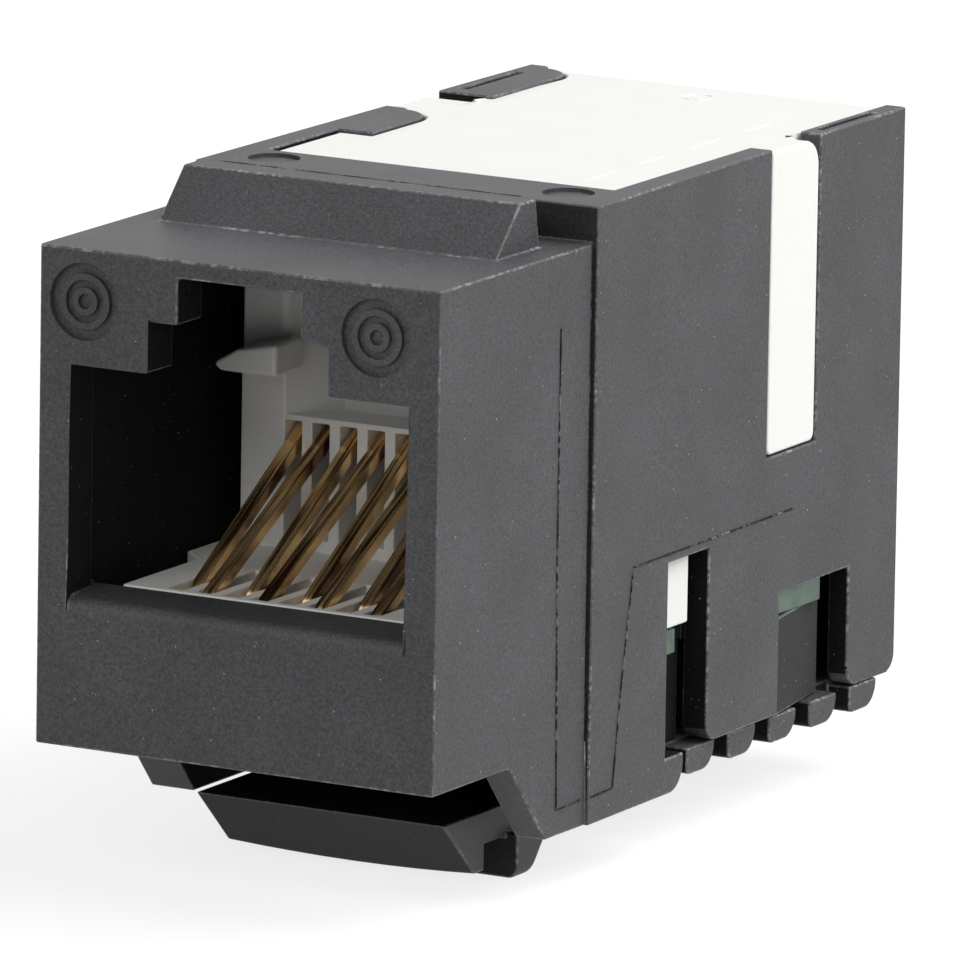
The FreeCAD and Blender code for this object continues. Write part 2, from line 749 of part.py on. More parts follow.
def make_base_cover():
    body = make_body("base_cover")
    fin_end = f"({FIN_START} + fin_share * {FIN_SPACING})"
    rib = box(FIN_START, fin_end, "-fin_drop", "-wall_drop - seat_gap")
    made = [add(body, "rib", "YZ", rib, f"-{TAIL} / 2", f"{TAIL} / 2")]
    floor = worth("-fin_drop")
    for name, radius, y in (("rib_heel", "fin_heel", fin_end), ("rib_toe", "fin_toe", FIN_START)):
        made.append(round_edges(body, name, radius, edge_test("x", y=worth(y), z=floor)))
    plate = centred(COVER, COVER_START, "overall_length")
    add(body, "plate", "XY", plate, PLATE_LOW, "-cover_top")
    repeat(body, "ribs", made, "Y", FIN_SPACING, COUNTS["ribs"])
    for name, sign in SIDES:
        outer = f"{sign}({COVER} / 2)"
        tab = box(f"{sign}({COVER} / 2 - tab_thickness)", outer, COVER_START, TAB_END)
        add(body, f"{name}_tab", "XY", tab, f"{PLATE_LOW} + 0.1", "tab_top")
        rail_end = f"{BOARD_REAR} - board_gap"
        rail = box(f"{sign}({COVER} / 2 - rail_width)", outer, f"{TAB_END} + rail_gap", rail_end)
        add(body, f"{name}_rail", "XY", rail, f"{PLATE_LOW} + 0.1", BOARD_LOW)
    wall = centred(COVER, "overall_length - tail_wall", "overall_length")
    add(body, "tail_wall_rise", "XY", wall, f"{PLATE_LOW} + 0.1", "tail_wall_top")
    return body


# Circuit board: joins the contacts to the terminals


def tab_notch(sign, width):
    """The room round a snap tab, open to the side."""
    inner = f"{sign}({COVER} / 2 - tab_thickness - cap_gap)"
    return box(inner, f"{sign}{width}", f"{COVER_START} - 3 * block_gap", f"{TAB_END} + 3 * block_gap")


def make_board():
    body = make_body("circuit_board")
    width = f"({CAVITY} - 2 * board_gap)"
    plan = centred(width, "lip_depth + board_gap", BOARD_REAR)
    add(body, "laminate", "XY", plan, BOARD_LOW, "board_top")
    under = f"{BOARD_LOW} - 1"
    over = "board_top + 1"
    corners = [edge_test("z", x=side * worth(width) / 2, y=worth(BOARD_REAR)) for side in (-1, 1)]
    round_edges(body, "board_rounding", "board_corner", any_edge(corners))
    for name, sign in SIDES:
        root = f"{sign}({width} / 2 - 0.1)"
        front_lug = box(root, f"{sign}{LUG}", f"{TALL_START} + lug_gap", f"{COVER_START} - 3 * block_gap")
        add(body, f"{name}_front_lug", "XY", front_lug, BOARD_LOW, "board_top")
        lug_end = f"({BOARD_REAR} - board_gap)"
        rear_lug = [
            (root, f"{LOW_START} + lug_gap"),
            (f"{sign}{LUG}", f"{LOW_START} + lug_gap"),
            (f"{sign}{LUG}", f"{lug_end} - board_lug_corner"),
            (f"{sign}({LUG} - board_lug_corner)", lug_end),
            (root, lug_end),
        ]
        add(body, f"{name}_rear_lug", "XY", rear_lug, BOARD_LOW, "board_top")
        cut(body, f"{name}_notch", "XY", tab_notch(sign, width), under, over)
    span = f"({COUNTS['contacts'] - 1} / 2 * contact_spacing)"
    rows = (("steep", f"-{span}", "steep_tail"), ("shallow", f"-{span} + contact_spacing", "shallow_tail"))
    for name, x, y in rows:
        hole = cut_disc(body, f"{name}_hole", "XY", (x, y), "contact_hole", under, over)
        repeat(body, f"{name}_holes", [hole], "X", "2 * contact_spacing", COUNTS["contacts"] // 2)
    for name, sign in SIDES:
        centre = (f"{sign}{TERMINAL_X}", FIRST_ROW)
        hole = cut_disc(body, f"{name}_pin_hole", "XY", centre, "terminal_hole", under, over)
        repeat(body, f"{name}_pin_holes", [hole], "Y", ROW_SPACING, COUNTS["terminal_rows"])
    return body


# Contact carrier: white moulding with the floor, comb, column and hook


def make_carrier():
    body = make_body("contact_carrier")
    wide = f"({CAVITY} / 2 - carrier_gap)"
    nose = f"({wide} - carrier_nose_inset + carrier_gap)"
    flare_end = f"({COMB_FACE} - flare_setback)"
    right = [
        (nose, "carrier_front"),
        (nose, f"{flare_end} - carrier_flare"),
        (wide, flare_end),
        (wide, CARRIER_REAR),
    ]
    left = [(f"-{x}", y) for x, y in reversed(right)]
    add(body, "floor", "XY", right + left, "board_top", "carrier_floor")
    face = f"-{COMB} / 2"
    screen_face = f"({COMB_FACE} + shelf_depth)"
    top = f"({NOTCH_TOP} - carrier_drop)"
    add(body, "comb", "XY", centred(COMB, COMB_FACE, CARRIER_REAR), "carrier_floor - 0.1", COMB_TOP)
    add(body, "screen", "XY", centred(COMB, screen_face, CARRIER_REAR), f"{COMB_TOP} - 0.1", top)
    column = [
        (face, COMB_FACE),
        (f"{face} + column_width", COMB_FACE),
        (f"{face} + column_width + column_splay", f"{screen_face} + 0.1"),
        (face, f"{screen_face} + 0.1"),
    ]
    add(body, "column", "XY", column, f"{COMB_TOP} - 0.1", top)
    hook = [
        (f"{face} - hook_end", f"{HOOK_FLOOR} + hook_tip"),
        (f"{face} + hook_end", HOOK_FLOOR),
        (f"{face} + hook_margin", HOOK_FLOOR),
        (f"{face} + hook_margin", f"{HOOK_FLOOR} + hook_height"),
        (f"{face} + hook_margin / 3", f"{HOOK_FLOOR} + 0.7 * hook_height"),
    ]
    add(body, "hook", "XZ", hook, f"{COMB_FACE} - hook_reach", f"{COMB_FACE} + 0.1")
    first = f"({COUNTS['contacts'] - 1} / -2 * contact_spacing)"
    sides = (f"{first} - comb_slot_width / 2", f"{first} + comb_slot_width / 2")
    slit = box(*sides, f"{COMB_FACE} - 1", f"{COMB_FACE} + comb_slot_depth")
    comb_slot = cut(body, "comb_slit", "XY", slit, "comb_slot_floor", f"{COMB_TOP} - comb_roof")
    repeat(body, "comb_slits", [comb_slot], "X", "contact_spacing", COUNTS["contacts"])
    well = box(*sides, "carrier_front + floor_slot_margin", "floor_slot_end")
    floor_slot = cut(body, "floor_slit", "XY", well, "board_top - 1", "carrier_floor + 0.1")
    repeat(body, "floor_slits", [floor_slot], "X", "contact_spacing", COUNTS["contacts"])
    return body


# Spring contacts: bent square wires, every second one at a shallower slope


def make_contact(index):
    place = f"({index} - {COUNTS['contacts'] - 1} / 2) * contact_spacing"
    number = index + 1
    body = make_body(f"contact_{number}", place)
    tail = "steep_tail" if index % 2 == 0 else "shallow_tail"
    half = "contact_size / 2"
    crest = f"({TIP} - contact_tip_length)"
    slope = f"((contact_tip_height - contact_bend_height) / ({crest} - {tail}))"
    lift = f"({half} * sqrt(1 + {slope}^2))"
    shift = f"(({lift} - {half}) / {slope})"
    front = f"({tail} - {half})"
    back = f"({tail} + {half})"

    def beam(y, side):
        return f"contact_bend_height + ({y} - {tail}) * {slope} {side} {lift}"

    corners = [
        (front, PIN_FOOT),
        (front, beam(front, "+")),
        (f"{crest} - {shift}", f"contact_tip_height + {half}"),
        (TIP, f"contact_tip_height + {half}"),
        (TIP, f"contact_tip_height - {half}"),
        (f"{crest} + {shift}", f"contact_tip_height - {half}"),
        (back, beam(back, "-")),
        (back, PIN_FOOT),
    ]
    add(body, f"wire_{number}", "YZ", corners, f"-{half}", half)
    top = "contact_tip_height + contact_size / 2"
    for name, radius, y, z in (
        ("outer_bend", "contact_bend + contact_size", front, beam(front, "+")),
        ("inner_bend", "contact_bend", back, beam(back, "-")),
        ("crest_rounding", "contact_crest_round", f"{crest} - {shift}", top),
    ):
        round_edges(body, f"{name}_{number}", radius, edge_test("x", y=worth(y), z=worth(z)))
    return body


# Terminal block: white moulding with two rows of wire slots


def make_block():
    body = make_body("terminal_block")
    width = f"({CAVITY} - 2 * board_gap)"
    add(body, "block_base", "XY", centred(width, BLOCK_START, BLOCK_END), "board_top", "block_floor")
    rows = COUNTS["terminal_rows"]
    for name, sign in SIDES:
        tower = box(f"{sign}{TOWER_INNER}", f"{sign}{TOWER_OUTER}", TOWER_START, TOWER_END)
        add(body, f"{name}_tower", "XY", tower, "block_floor - 0.1", TOWER_TOP)
        low = f"{TALL_START} + lug_gap"
        lug = box(f"{sign}({width} / 2 - 0.1)", f"{sign}{LUG}", low, f"{low} + block_lug_length")
        add(body, f"{name}_lug", "XY", lug, "board_top + seat_gap", "tall_top - seat_gap")
        notch = tab_notch(sign, width)
        notch[0] = (notch[0][0], f"{COVER_START} - seat_gap")
        notch[1] = (notch[1][0], f"{COVER_START} - seat_gap")
        cut(body, f"{name}_relief", "XY", notch, "board_top - 1", "tab_top + cap_gap")
        sides = (f"{sign}({TOWER_INNER} - 1)", f"{sign}({TOWER_OUTER} + 1)")
        slot = box(*sides, f"{FIRST_ROW} - wire_slot_width / 2", f"{FIRST_ROW} + wire_slot_width / 2")
        low = f"{TOWER_TOP} - wire_slot_depth"
        wire = cut(body, f"{name}_wire_slot", "XY", slot, low, f"{TOWER_TOP} + 1")
        repeat(body, f"{name}_wire_slots", [wire], "Y", ROW_SPACING, rows)
        half = "(terminal_thickness / 2 + terminal_clearance)"
        sides = (f"{sign}{TERMINAL_X} - {half}", f"{sign}{TERMINAL_X} + {half}")
        reach = f"({BLADE} / 2 + terminal_clearance)"
        pocket = box(*sides, f"{FIRST_ROW} - {reach}", f"{FIRST_ROW} + {reach}")
        low = f"{TERMINAL_FOOT} - terminal_clearance"
        blade = cut(body, f"{name}_pocket", "XY", pocket, low, f"{TOWER_TOP} + 1")
        repeat(body, f"{name}_pockets", [blade], "Y", ROW_SPACING, rows)
        stem = "(terminal_pin / 2 + terminal_clearance)"
        pin = box(*sides, f"{FIRST_ROW} - {stem}", f"{FIRST_ROW} + {stem}")
        shaft = cut(body, f"{name}_pin_way", "XY", pin, "board_top - 1", TERMINAL_FOOT)
        repeat(body, f"{name}_pin_ways", [shaft], "Y", ROW_SPACING, rows)
    return body


# Terminals: forked blades that cut into the wires, each with a pin through the board


def make_terminal(side, row):
    number = row + 1 + (COUNTS["terminal_rows"] if side > 0 else 0)
    sign = "" if side > 0 else "-"
    body = make_body(f"idc_terminal_{number}", f"{sign}{TERMINAL_X}", f"{FIRST_ROW} + {row} * {ROW_SPACING}")
    right = [
        ("terminal_pin / 2", PIN_FOOT),
        ("terminal_pin / 2", TERMINAL_FOOT),
        (f"{BLADE} / 2", TERMINAL_FOOT),
        (f"{BLADE} / 2", TERMINAL_TOP),
        (f"{BLADE} / 2 * {MOUTH_SHARE}", TERMINAL_TOP),
        ("terminal_fork / 2", f"{TERMINAL_TOP} - terminal_mouth_depth"),
        ("terminal_fork / 2", f"{TERMINAL_TOP} - terminal_fork_depth"),
    ]
    left = [(f"-{y}", z) for y, z in reversed(right)]
    add(body, f"blade_{number}", "YZ", right + left, "-terminal_thickness / 2", "terminal_thickness / 2")
    return body


# Wire cap: white lid with soft ridges, straps over the walls and pressers for the wires


def make_cap():
    body = make_body("wire_cap")
    edge = f"({CAVITY} / 2 - cap_gap)"
    rear = "overall_length - cap_gap"
    plan = box(f"-{edge}", edge, f"{NECK} + band_length + cap_gap", rear)
    add(body, "lid", "XY", plan, CAP_UNDER, CAP_TOP)
    step = f"-{CAVITY} / 2 + pad_width + cap_gap"
    for name, low, high in (
        ("front_pad_notch", f"{FRONT_PAD_END} - front_pad_length - cap_gap", f"{FRONT_PAD_END} + cap_gap"),
        ("rear_pad_notch", f"{STRAP_START} + strap_length", f"{REAR_PAD_END} + cap_gap"),
    ):
        notch = box(f"-{REAR}", step, low, high)
        cut(body, name, "XY", notch, f"{CAP_UNDER} - 1", f"{CAP_TOP} + 1")
    ends = [worth(f"{end} + cap_gap") for end in (FRONT_PAD_END, REAR_PAD_END)]
    stops = [edge_test("z", x=worth(step), y=end) for end in ends]
    round_edges(body, "notch_rounding", PAD_CORNER, any_edge(stops))
    low = STRAP_START
    high = f"{STRAP_START} + strap_length"
    for name, sign in SIDES:
        strap = [
            (f"{sign}({edge} - 0.1)", low),
            (f"{sign}({half_width(low)} - strap_inset)", low),
            (f"{sign}({half_width(high)} - strap_inset)", high),
            (f"{sign}({edge} - 0.1)", high),
        ]
        add(body, f"{name}_bridge", "XY", strap, CAP_UNDER, CAP_TOP)
        strap[0] = (f"{sign}({CAVITY} / 2)", low)
        strap[3] = (f"{sign}({CAVITY} / 2)", high)
        add(body, f"{name}_strap", "XY", strap, STRAP_FOOT, f"{CAP_UNDER} + 0.1")
    shoulder = edge_test("x", y=worth(high), z=worth(CAP_TOP))
    round_edges(body, "strap_rounding", "strap_corner", shoulder)
    skirt = centred(f"2 * {edge}", SKIRT_FOOT, f"{CAP_UNDER} + 0.1")
    add(body, "skirt", "XZ", skirt, f"{rear} - skirt_length", rear)
    arch = centred(f"2 * ({TOWER_INNER} + arch_gap)", f"{SKIRT_FOOT} - 1", f"{CAP_UNDER} - arch_drop")
    cut(body, "cable_arch", "XZ", arch, BLOCK_END, f"overall_length + {OVERSHOOT}")
    add_pressers(body)
    add_ridges(body)
    return body


def add_pressers(body):
    """Two small ribs over each wire slot, one each side of its terminal."""
    near_side = "(terminal_thickness / 2 + presser_gap)"
    for name, sign in SIDES:
        made = []
        for part, way in (("inner", "-"), ("outer", "+")):
            sides = (
                f"{sign}({TERMINAL_X} {way} {near_side})",
                f"{sign}({TERMINAL_X} {way} ({near_side} + presser_length))",
            )
            rib = box(*sides, f"{FIRST_ROW} - presser_width / 2", f"{FIRST_ROW} + presser_width / 2")
            low = f"{CAP_UNDER} - presser_depth"
            made.append(add(body, f"{name}_{part}_presser", "XY", rib, low, f"{CAP_UNDER} + 0.1"))
        repeat(body, f"{name}_pressers", made, "Y", ROW_SPACING, COUNTS["terminal_rows"])


def add_ridges(body):
    """Low ridges across the lid, one over each row of terminals."""
    half = "ridge_width / 2"
    right = [
        (f"{FIRST_ROW} + {half}", f"{CAP_TOP} - 0.1"),
        (f"{FIRST_ROW} + {half}", CAP_TOP),
        (f"{FIRST_ROW} + {half} / 2", f"{CAP_TOP} + ridge_height * 0.75"),
    ]
    left = [(y.replace(f"+ {half}", f"- {half}"), z) for y, z in reversed(right)]
    crest = [(FIRST_ROW, f"{CAP_TOP} + ridge_height")]
    width = f"({CAVITY} / 2 - ridge_inset)"
    first = add(body, "ridge", "YZ", right + crest + left, f"-{width}", width)
    repeat(body, "ridges", [first], "Y", ROW_SPACING, COUNTS["terminal_rows"])


pieces = [make_housing(), make_latch_arm(), make_base_cover(), make_board(), make_carrier(), make_block()]
pieces += [make_cap()]
pieces += [make_contact(index) for index in range(COUNTS["contacts"])]
pieces += [make_terminal(side, row) for side in (-1, 1) for row in range(COUNTS["terminal_rows"])]

doc.recompute()

for item in doc.Objects:
    faults = {"Invalid", "Error"} & set(item.State)
    if faults:
        raise RuntimeError(f"{item.Name} is {', '.join(faults)}")
for feature, base in CUTS:
    if feature.Shape.Volume > base.Shape.Volume - 1e-6:
        raise RuntimeError(f"{feature.Name} cuts nothing")
for piece in pieces:
    if piece.Shape.isNull() or not piece.Shape.isValid() or len(piece.Shape.Solids) != 1:
        raise RuntimeError(f"{piece.Name} isn't one valid solid")

os.makedirs("parts", exist_ok=True)
for piece in pieces:
    piece.Shape.exportStep(f"parts/{piece.Name}.step")
    print(piece.Name, round(piece.Shape.Volume, 2))
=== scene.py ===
import json
import math

import bmesh
import bpy
from mathutils import Matrix, Vector

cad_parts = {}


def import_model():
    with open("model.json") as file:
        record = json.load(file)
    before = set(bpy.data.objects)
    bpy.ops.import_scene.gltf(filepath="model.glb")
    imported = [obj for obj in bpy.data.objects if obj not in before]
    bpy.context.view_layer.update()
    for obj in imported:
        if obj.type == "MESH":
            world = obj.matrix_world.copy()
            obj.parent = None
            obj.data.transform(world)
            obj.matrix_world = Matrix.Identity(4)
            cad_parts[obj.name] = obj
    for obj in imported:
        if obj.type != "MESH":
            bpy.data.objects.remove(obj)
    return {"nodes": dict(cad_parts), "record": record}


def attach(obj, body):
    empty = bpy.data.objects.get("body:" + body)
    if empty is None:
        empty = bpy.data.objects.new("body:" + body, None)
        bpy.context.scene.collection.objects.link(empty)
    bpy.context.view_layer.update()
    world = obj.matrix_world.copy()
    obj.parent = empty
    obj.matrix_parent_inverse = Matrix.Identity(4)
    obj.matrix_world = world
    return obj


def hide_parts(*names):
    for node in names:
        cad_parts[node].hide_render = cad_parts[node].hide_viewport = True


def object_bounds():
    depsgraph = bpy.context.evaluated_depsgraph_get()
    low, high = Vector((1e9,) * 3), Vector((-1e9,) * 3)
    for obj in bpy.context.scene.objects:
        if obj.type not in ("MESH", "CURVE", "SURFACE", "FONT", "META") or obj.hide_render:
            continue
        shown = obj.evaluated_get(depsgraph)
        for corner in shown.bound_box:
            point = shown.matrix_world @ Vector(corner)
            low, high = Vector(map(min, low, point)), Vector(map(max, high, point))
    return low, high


# Looks of the keystone jack: rounded edges, finishes for plastic, wire and board, and a studio.
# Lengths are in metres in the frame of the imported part, unless a name ends in MM or PER_MM. Places
# in millimetres are as drawn: X from the middle, Y from the front face, and Z from the front
# block's lower edge.

MM = 0.001
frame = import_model()
cad_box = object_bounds()
LENGTH_MM = (cad_box[1][1] - cad_box[0][1]) / MM
LATCH_DROP_MM = 4.75

# The photograph's view, solved from the front face of the jack
CAMERA_AT = Vector((0.239466, -0.427442, 0.111670))
CAMERA_AZIMUTH = math.radians(29.263)
CAMERA_ELEVATION = math.radians(11.559)
CAMERA_ROLL = math.radians(0.932)
CAMERA_CLIP = (0.01, 10)
IMAGE_SIDE = 957
FOCAL_PIXELS = 15506.7
SENSOR_WIDTH_MM = 36

# How far each piece's edges are rounded, and which edges count as sharp, flat or doubled
EDGE_ROUNDING_MM = {
    "housing": 0.07,
    "latch_arm": 0.07,
    "base_cover": 0.07,
    "contact_carrier": 0.16,
    "terminal_block": 0.08,
    "wire_cap": 0.1,
    "circuit_board": 0.04,
    "contact": 0.05,
    "idc_terminal": 0.04,
}
ROUNDING_SEGMENTS = 2
EDGE_ANGLE = math.radians(32)
FLAT_ANGLE = math.radians(1)
WELD_MM = 0.0005

# Faces smaller than this keep the edges that they have
SLIVER_MM2 = 0.02

# The carrier's edges above this height, its hook's, are rounded in full, and the others by a share
HOOK_FOOT_MM = 10.5
COMB_SHARE = 0.35

# Small details keep crisp edges: the front discs, the roof's round marks and the lid's ridges. A
# span is a low and a high corner, with X taken as positive
CRISP_MM = {
    "housing": (((3.2, -0.1, 10.5), (7.1, 0.3, 16.0)), ((4.4, 10.4, 17.0), (6.4, 12.4, 17.4))),
    "wire_cap": (((0.0, 11.0, 17.1), (5.2, 31.3, 17.4)),),
}

# Each slot's finishes, by their places in its list; only the black plastic has the last three. Of
# these the first and the last are painted shade, darker finishes put where shade falls
BODY, EDGE, PAINTED_DEEP_SHADE, SEAM, SHADE = range(5)

# Where the black plastic takes its painted shade, darker finishes on faces where shade falls in the
# socket, the latch bay, the windows, inside the cover and at the neck, as spans like those above
COVER_INSIDE_MM = -1.4
COVER_REAR_MM = 30.0
SOCKET_INSIDE_MM = ((0, 0.3, 1.1), (6.36, 31.0, 15.55))
SILL_DEPTH_MM = 2.5
LATCH_BAY_MM = ((0, 4.9, -3.5), (6.2, 16.5, -0.01))
TALL_WINDOW_MM = ((6.1, 15.0, -1.6), (7.5, 17.9, 4.9))
LOW_WINDOW_MM = ((6.1, 22.7, -1.6), (7.5, 27.8, 2.6))
NECK_MM = 9.82
NECK_REACH_MM = 0.1

# How much of a face's normal lies along an axis before the face counts as looking that way
SQUARELY = 0.9
MOSTLY = 0.7
HALF = 0.5
PARTLY = 0.4
SLIGHTLY = 0.3
BARELY = 0.05

# The terminal block's side lugs end further back in the tall window than the solid's do
LUG_SPAN_MM = ((5.6, 16.3, 0.0), (7.2, 16.6, 6.0))
LUG_STRETCH_MM = 0.6

# The left pads, and the lid's notches round them, reach further over the lid than the solids' do,
# and their rear ends have wider arcs. Both start from a wall at PAD_ROOTS_MM. Each pad has its
# span in Y, where its arc starts, where the wider arc starts, and how many times longer that is
PAD_WIDENING = 1.42
PAD_INWARDS_MM = (-0.01, 1.0)
PAD_HEIGHTS_MM = (15.5, 17.5)
PAD_ROOTS_MM = {"housing": -6.35, "wire_cap": -6.25}
PADS_MM = {
    "housing": ((17.0, 21.4, 20.49, 20.0, 1.85), (25.1, 30.45, 29.59, 29.5, 1.65)),
    "wire_cap": ((17.0, 21.5, 20.59, 20.1, 1.85), (25.0, 30.55, 29.69, 29.6, 1.65)),
}
ARC_SLACK_MM = 0.02

# The lid's ridges stand this share of the solid's height
LID_TOP_MM = 17.2
RIDGE_FOOT_MM = 0.01
RIDGE_SHARE = 0.4

# The feet of the lid's straps have round corners
STRAP_FOOT_MM = ((6.3, 21.0, 2.0), (7.4, 26.0, 8.5))
STRAP_EDGE_MM = 0.2
STRAP_ANGLE = 1.0
STRAP_CORNER_MM = 0.3
STRAP_SEGMENTS = 5

# Where the parting lines run, as Y and Z along the side walls, and half the jack's width there
WITNESS_LINE = [(7.75, 13.7), (7.75, 6.0), (7.95, -1.9), (9.5, -1.85)]
INSERT_LINE = [(9.95, -1.84), (11.4, -1.81), (11.92, 1.63), (12.6, 5.17), (17.0, 5.17),
               (23.6, 5.17)]
ROOF_LINE = [(-6.6, 9.98, 17.28), (4.5, 9.98, 17.28)]
FRONT_HALF_MM = 7.25
REAR_HALF_MM = 7.4
TAIL_HALF_MM = 7.05

# The beads that draw the lines: their radius and unevenness, and the fineness of their meshes
SEAM_RADIUS_MM = 0.038
UNEVENNESS = 0.3
WAVES = (5.1, 1.7)
BEAD_SIDES = 6
BEAD_STEP_MM = 0.12

# The ring on the lid: its middle and radius, and how its bead lies
LID_MARK_MM = (0.3, 29.3, 0.5)
LID_BEAD_MM = 0.035
LID_BEAD_SUNK_MM = 0.015
RING_POINTS = 40

# Colours. Most of the black plastic's tone in the photograph is reflected light
BLACK = (0.048, 0.0485, 0.052)
# Painted shade: a near-black for faces where shade falls, which the seams' dark lines share, and a
# dark grey for half shade
SEAM_AND_SHADE_BLACK = (0.008, 0.008, 0.008)
SHADED_BLACK = (0.02, 0.02, 0.021)
# The pale of worn edges, which also stands for painted glints on rounded edges and seams
WEAR_AND_GLINT_BLACK = (0.3, 0.3, 0.31)
DUST = (0.45, 0.45, 0.45)
FINE_DUST = (0.25, 0.25, 0.25)
WHITE = (0.87, 0.87, 0.84)
# A slightly paler white on rounded edges, a faint painted highlight
EDGE_HIGHLIGHT_WHITE = (0.9, 0.9, 0.88)
GOLD = (1.0, 0.68, 0.33)
DARK_GOLD = (0.15, 0.065, 0.025)
TIN = (0.75, 0.74, 0.7)
DARK_TIN = (0.5, 0.49, 0.46)
BOARD_GREEN = (0.065, 0.12, 0.085)
DARK_GREEN = (0.015, 0.045, 0.027)

# The studio: the world's light, and each softbox's name, place, width, height and watts
WORLD_LIGHT = 0.12
LIT_POINT = (0, 0, 0.01)
SOFTBOXES = (
    ("top_softbox", (0.27, 0.15, 0.38), 0.4, 0.4, 2.6),
    ("right_softbox", (0.5, -0.05, 0.1), 0.4, 0.4, 0.65),
    ("front_softbox", (0.0, -0.52, 0.35), 0.5, 0.3, 1.5),
)

# The floor lights the jack as grey paper, and is seen as a white glow that keeps a faint shadow
FLOOR_HALF = 3.0
PAPER_GREY = 0.6
SHADOW_GREY = 0.3
FLOOR_GLOW = 0.8


def family(node):
    """The name that a repeated piece shares with its like."""
    return node.rstrip("0123456789").rstrip("_")


# Materials


def new_material(name):
    """An empty material with its shader."""
    material = bpy.data.materials.new(name)
    material.use_nodes = True
    tree = material.node_tree
    tree.nodes.clear()
    output = tree.nodes.new("ShaderNodeOutputMaterial")
    shader = tree.nodes.new("ShaderNodeBsdfPrincipled")
    tree.links.new(shader.outputs["BSDF"], output.inputs["Surface"])
    return material, tree, shader


def millimetres(tree):
    """Object coordinates in millimetres, so that texture scales are counts per millimetre."""
    place = tree.nodes.new("ShaderNodeTexCoord")
    scale = tree.nodes.new("ShaderNodeMapping")
    scale.inputs["Scale"].default_value = (1 / MM, 1 / MM, 1 / MM)
    tree.links.new(place.outputs["Object"], scale.inputs["Vector"])
    return scale.outputs["Vector"]


def noise(tree, vector, per_mm, detail=2.0, roughness=0.5):
    """Cloudy values about 0.5."""
    node = tree.nodes.new("ShaderNodeTexNoise")
    node.inputs["Scale"].default_value = per_mm
    node.inputs["Detail"].default_value = detail
    node.inputs["Roughness"].default_value = roughness
    tree.links.new(vector, node.inputs["Vector"])
    return node.outputs["Fac"]


def stretched(tree, vector, scale):
    """Coordinates scaled by axis."""
    node = tree.nodes.new("ShaderNodeMapping")
    node.inputs["Scale"].default_value = scale
    tree.links.new(vector, node.inputs["Vector"])
    return node.outputs["Vector"]


def ramp(tree, value, stops):
    """Colours along a value; each stop is a place and a grey or a colour."""
    node = tree.nodes.new("ShaderNodeValToRGB")
    elements = node.color_ramp.elements
    while len(elements) < len(stops):
        elements.new(0.5)
    for element, (place, colour) in zip(elements, stops):
        rgb = colour if isinstance(colour, tuple) else (colour, colour, colour)
        element.position = place
        element.color = (*rgb, 1)
    tree.links.new(value, node.inputs["Fac"])
    return node.outputs["Color"]


def mix(tree, factor, low, high, kind="MIX"):
    """Blend two colours; the factor and either colour may be a socket."""
    node = tree.nodes.new("ShaderNodeMix")
    node.data_type = "RGBA"
    node.blend_type = kind
    for name, value in (("Factor", factor), ("A", low), ("B", high)):
        socket = node.inputs[name]
        if isinstance(value, bpy.types.NodeSocket):
            tree.links.new(value, socket)
        elif isinstance(value, tuple):
            socket.default_value = (*value, 1)
        else:
            socket.default_value = value
    return next(item for item in node.outputs if item.type == "RGBA")


def bump(tree, shader, height, strength, distance_mm, before=None):
    """Tilt the shader's normal by a height, on top of a bump made before."""
    node = tree.nodes.new("ShaderNodeBump")
    node.inputs["Strength"].default_value = strength
    node.inputs["Distance"].default_value = distance_mm * MM
    tree.links.new(height, node.inputs["Height"])
    if before is not None:
        tree.links.new(before, node.inputs["Normal"])
    tree.links.new(node.outputs["Normal"], shader.inputs["Normal"])
    return node.outputs["Normal"]


def specks(tree, vector, per_mm, radius):
    """1 inside small scattered dots, 0 elsewhere."""
    node = tree.nodes.new("ShaderNodeTexVoronoi")
    node.inputs["Scale"].default_value = per_mm
    tree.links.new(vector, node.inputs["Vector"])
    stops = [(0.5 * radius * per_mm, 1.0), (radius * per_mm, 0.0)]
    return ramp(tree, node.outputs["Distance"], stops)


def scaled(colour, factor):
    return tuple(factor * c for c in colour)


def black_plastic(name, shade, wear_and_glint, grain, gloss, shine):
    """Finely textured black plastic with sparse pale dust, paler in places from wear and painted
    glints.
    """
    material, tree, shader = new_material(name)
    place = millimetres(tree)

    # Fine grain on broad, faint patches
    fine = noise(tree, place, 11.0, detail=4.0, roughness=0.7)
    broad = noise(tree, place, 0.3, detail=3.0)
    tint = ramp(tree, broad, [(0.3, scaled(shade, 0.85)), (0.7, scaled(shade, 1.15))])
    grit = ramp(tree, fine, [(0.36, 0.5), (0.64, 1.6)])
    tint = mix(tree, 1.0, tint, grit, "MULTIPLY")

    # Wear and painted glints, paler in short dashes that come in spells
    breaks = ramp(tree, noise(tree, place, 4.5, detail=3.0), [(0.45, 0.0), (0.62, wear_and_glint)])
    spells = ramp(tree, noise(tree, place, 0.45, detail=1.0), [(0.42, 0.12), (0.6, 1.0)])
    tint = mix(tree, mix(tree, 1.0, breaks, spells, "MULTIPLY"), tint, WEAR_AND_GLINT_BLACK)

    # Dust, coarse and fine
    tint = mix(tree, specks(tree, place, 1.7, 0.03), tint, DUST)
    fine_specks = specks(tree, stretched(tree, place, (1.0, 1.0, 0.6)), 3.4, 0.02)
    tint = mix(tree, fine_specks, tint, FINE_DUST)
    tree.links.new(tint, shader.inputs["Base Color"])

    rough = ramp(tree, fine, [(0.3, gloss - 0.06), (0.7, gloss + 0.08)])
    tree.links.new(rough, shader.inputs["Roughness"])
    shader.inputs["Specular IOR Level"].default_value = shine
    first = bump(tree, shader, fine, grain, 0.04)
    bump(tree, shader, noise(tree, place, 2.2, detail=2.0), grain * 0.5, 0.02, first)
    return material


